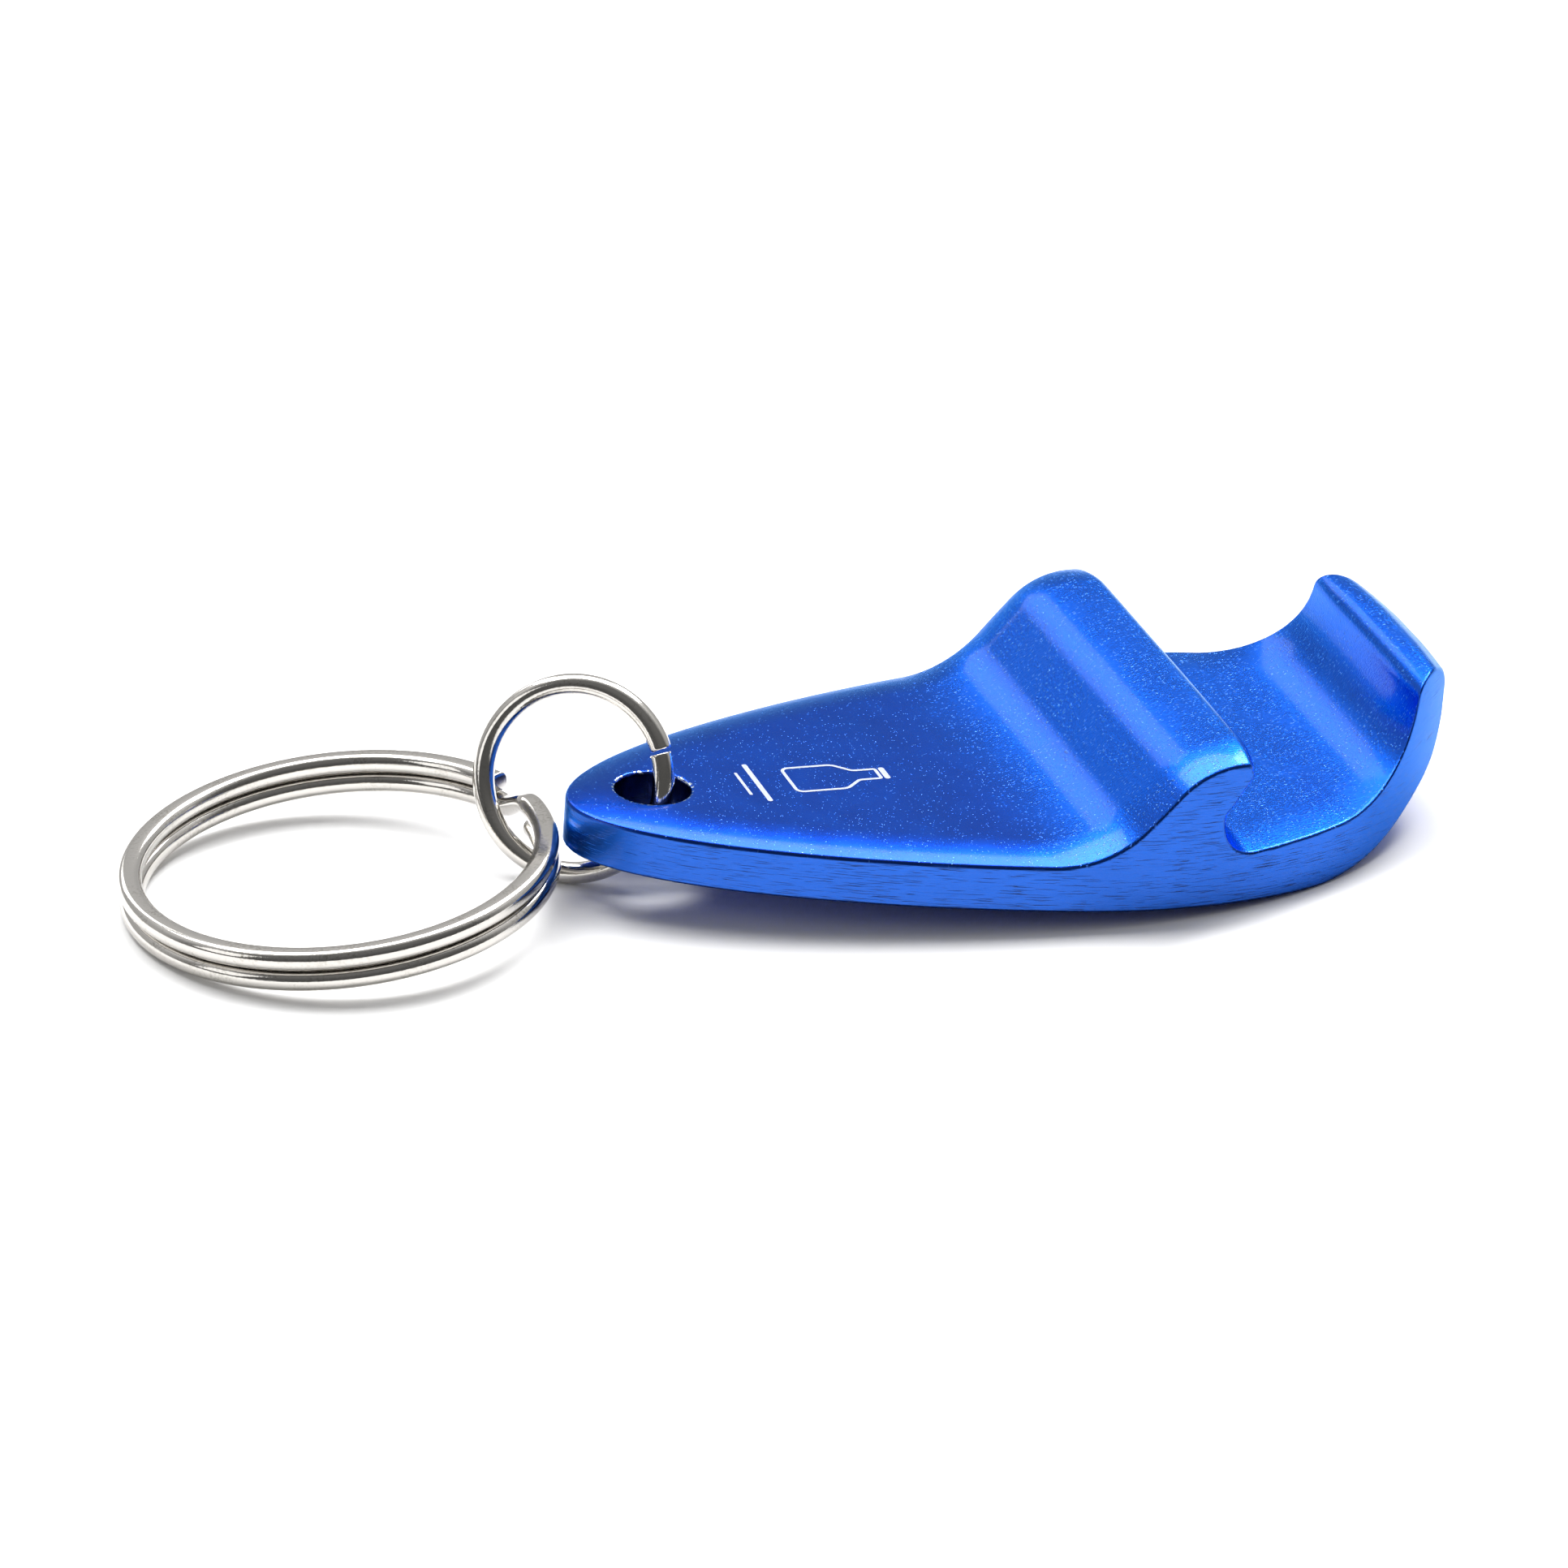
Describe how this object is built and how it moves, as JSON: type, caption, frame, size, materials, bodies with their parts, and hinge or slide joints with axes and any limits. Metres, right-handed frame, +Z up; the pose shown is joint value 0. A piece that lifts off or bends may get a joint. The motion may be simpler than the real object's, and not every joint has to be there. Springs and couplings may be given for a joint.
{
  "type": "keychain bottle opener",
  "caption": "Teardrop keychain bottle opener cut from a blue aluminium extrusion, with a hook and a lip, a jump ring through its nose and a split ring for keys.",
  "frame": {"origin": "on the surface that the set lies on, under the middle of the whole set's box", "axes": "+Z up from the surface, +X from the split ring towards the opener's lip, +Y to the left of that"},
  "size_m": [0.092, 0.0354, 0.0134],
  "materials": {
    "anodised_blue": "tumbled and anodised in a bright cobalt blue, with fine sawing marks on the flanks",
    "nickel_plate": "bright nickel plate over steel"
  },
  "bodies": {
    "opener": {"opener_body": "anodised_blue"},
    "jump_ring": {"jump_ring": "nickel_plate"},
    "split_ring": {"split_ring": "nickel_plate"}
  },
  "joints": [
    {"name": "jump_ring_swing", "type": "hinge", "parent": "opener", "child": "jump_ring", "pos_m": [-0.00994, -0.00075, 0.0051], "axis": [0.0732, 0, 0.9973], "range_deg": [-45, 70]},
    {"name": "split_ring_travel", "type": "hinge", "parent": "jump_ring", "child": "split_ring", "pos_m": [-0.01419, 0.00314, 0.00668], "axis": [0.5185, 0.7687, -0.3746], "range_deg": [0, 150]}
  ]
}
